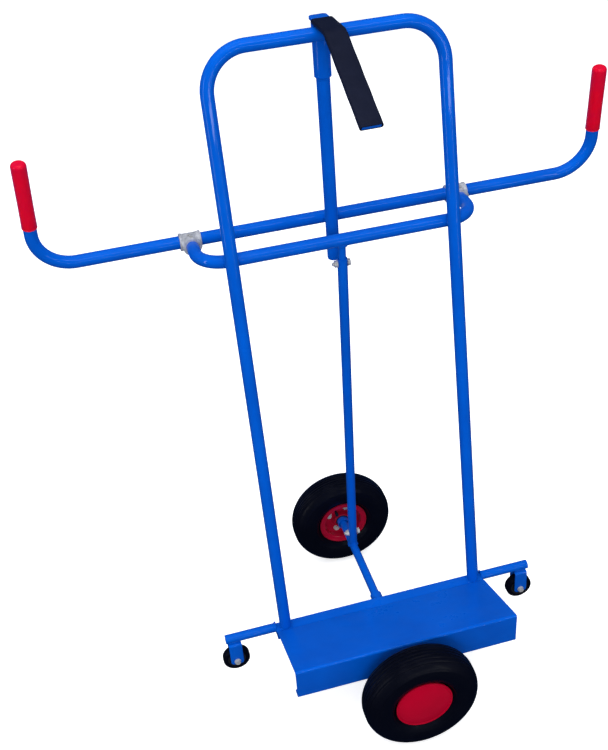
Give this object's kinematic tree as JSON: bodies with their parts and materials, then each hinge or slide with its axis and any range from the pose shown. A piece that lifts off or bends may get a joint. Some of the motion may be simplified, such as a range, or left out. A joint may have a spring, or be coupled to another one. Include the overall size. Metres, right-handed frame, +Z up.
{
  "type": "hand truck",
  "caption": "Panel hand truck with a tilted deck, leaning tube frame, tilting handle bar with grips, lift-and-turn hook, spinning wheels and side support rollers.",
  "frame": {"origin": "on the ground below the middle of the axle, midway between the two main wheels", "axes": "+X along the deck, to the right seen from the loading side; +Y from the deck to the handle bar; +Z up"},
  "size_m": [1.2256, 0.6768, 1.4427],
  "materials": {
    "blue_paint": "glossy blue powder coat",
    "red_paint": "glossy red enamel on pressed steel",
    "red_cap": "semi-gloss moulded red plastic",
    "red_vinyl": "glossy dip-moulded vinyl",
    "tyre_rubber": "black ribbed rubber",
    "black_rubber": "dull navy-black rubber sleeve",
    "black_plastic": "black moulded plastic",
    "zinc": "bright zinc-plated steel",
    "galvanised": "hot-dip galvanised malleable iron"
  },
  "bodies": {
    "frame": {"deck": "blue_paint", "deck_web": "blue_paint", "rear_cross_bar": "blue_paint", "cross_bar_end_plates": "blue_paint", "axle_sleeve": "blue_paint", "axle": "blue_paint", "axle_collars": "blue_paint", "upright_frame": "blue_paint", "guide_tube": "blue_paint", "bow": "blue_paint", "strut_stub": "blue_paint", "strut_foot_stub": "blue_paint", "support_strut": "blue_paint", "outrigger_left": "blue_paint", "outrigger_right": "blue_paint", "outrigger_end_discs": "blue_paint", "fork_left": "blue_paint", "fork_right": "blue_paint", "axle_washers": "zinc", "axle_split_pins": "zinc", "strut_bolts": "zinc", "strut_nuts": "zinc", "tee_left": "galvanised", "tee_right": "galvanised", "tee_set_screws": "zinc", "roller_bolts": "zinc", "roller_nuts": "zinc"},
    "front_wheel": {"front_tyre": "tyre_rubber", "front_inner_tube": "black_rubber", "front_rim_outer": "red_paint", "front_rim_inner": "red_paint", "front_hub": "red_paint", "front_bearings": "zinc", "front_rim_bolts": "zinc", "front_valve": "black_rubber", "front_hub_cap": "red_cap"},
    "rear_wheel": {"rear_tyre": "tyre_rubber", "rear_inner_tube": "black_rubber", "rear_rim_outer": "red_paint", "rear_rim_inner": "red_paint", "rear_hub": "red_paint", "rear_bearings": "zinc", "rear_rim_bolts": "zinc", "rear_valve": "black_rubber", "rear_hub_cap": "red_cap"},
    "left_roller": {"roller_tyre_left": "tyre_rubber", "roller_core_left": "black_plastic"},
    "right_roller": {"roller_tyre_right": "tyre_rubber", "roller_core_right": "black_plastic"},
    "guide_liner": {"guide_bush": "black_plastic"},
    "hook": {"hook_rod": "blue_paint", "hook_rod_cap": "blue_paint", "hook_bar": "blue_paint", "hook_sleeve": "black_rubber"},
    "handle": {"handle_bar": "blue_paint", "grip_left": "red_vinyl", "grip_right": "red_vinyl"}
  },
  "joints": [
    {"name": "front_wheel_spin", "type": "hinge", "parent": "frame", "child": "front_wheel", "pos_m": [0, -0.2985, 0.128], "axis": [0, 1, 0], "continuous": true},
    {"name": "rear_wheel_spin", "type": "hinge", "parent": "frame", "child": "rear_wheel", "pos_m": [0, 0.2985, 0.128], "axis": [0, 1, 0], "continuous": true},
    {"name": "left_roller_spin", "type": "hinge", "parent": "frame", "child": "left_roller", "pos_m": [-0.3537, -0.026, 0.076], "axis": [0, 1, 0], "continuous": true},
    {"name": "right_roller_spin", "type": "hinge", "parent": "frame", "child": "right_roller", "pos_m": [0.3537, -0.026, 0.076], "axis": [0, 1, 0], "continuous": true},
    {"name": "hook_swivel", "type": "hinge", "parent": "frame", "child": "guide_liner", "pos_m": [0, 0.20547, 1.38], "axis": [0, 0, 1], "range_deg": [-45, 45]},
    {"name": "hook_lift", "type": "slide", "parent": "guide_liner", "child": "hook", "axis": [0, 0, 1], "range_m": [0, 0.34]},
    {"name": "handle_tilt", "type": "hinge", "parent": "frame", "child": "handle", "pos_m": [0, 0.254, 1.014], "axis": [1, 0, 0], "range_deg": [-90, 90]}
  ]
}
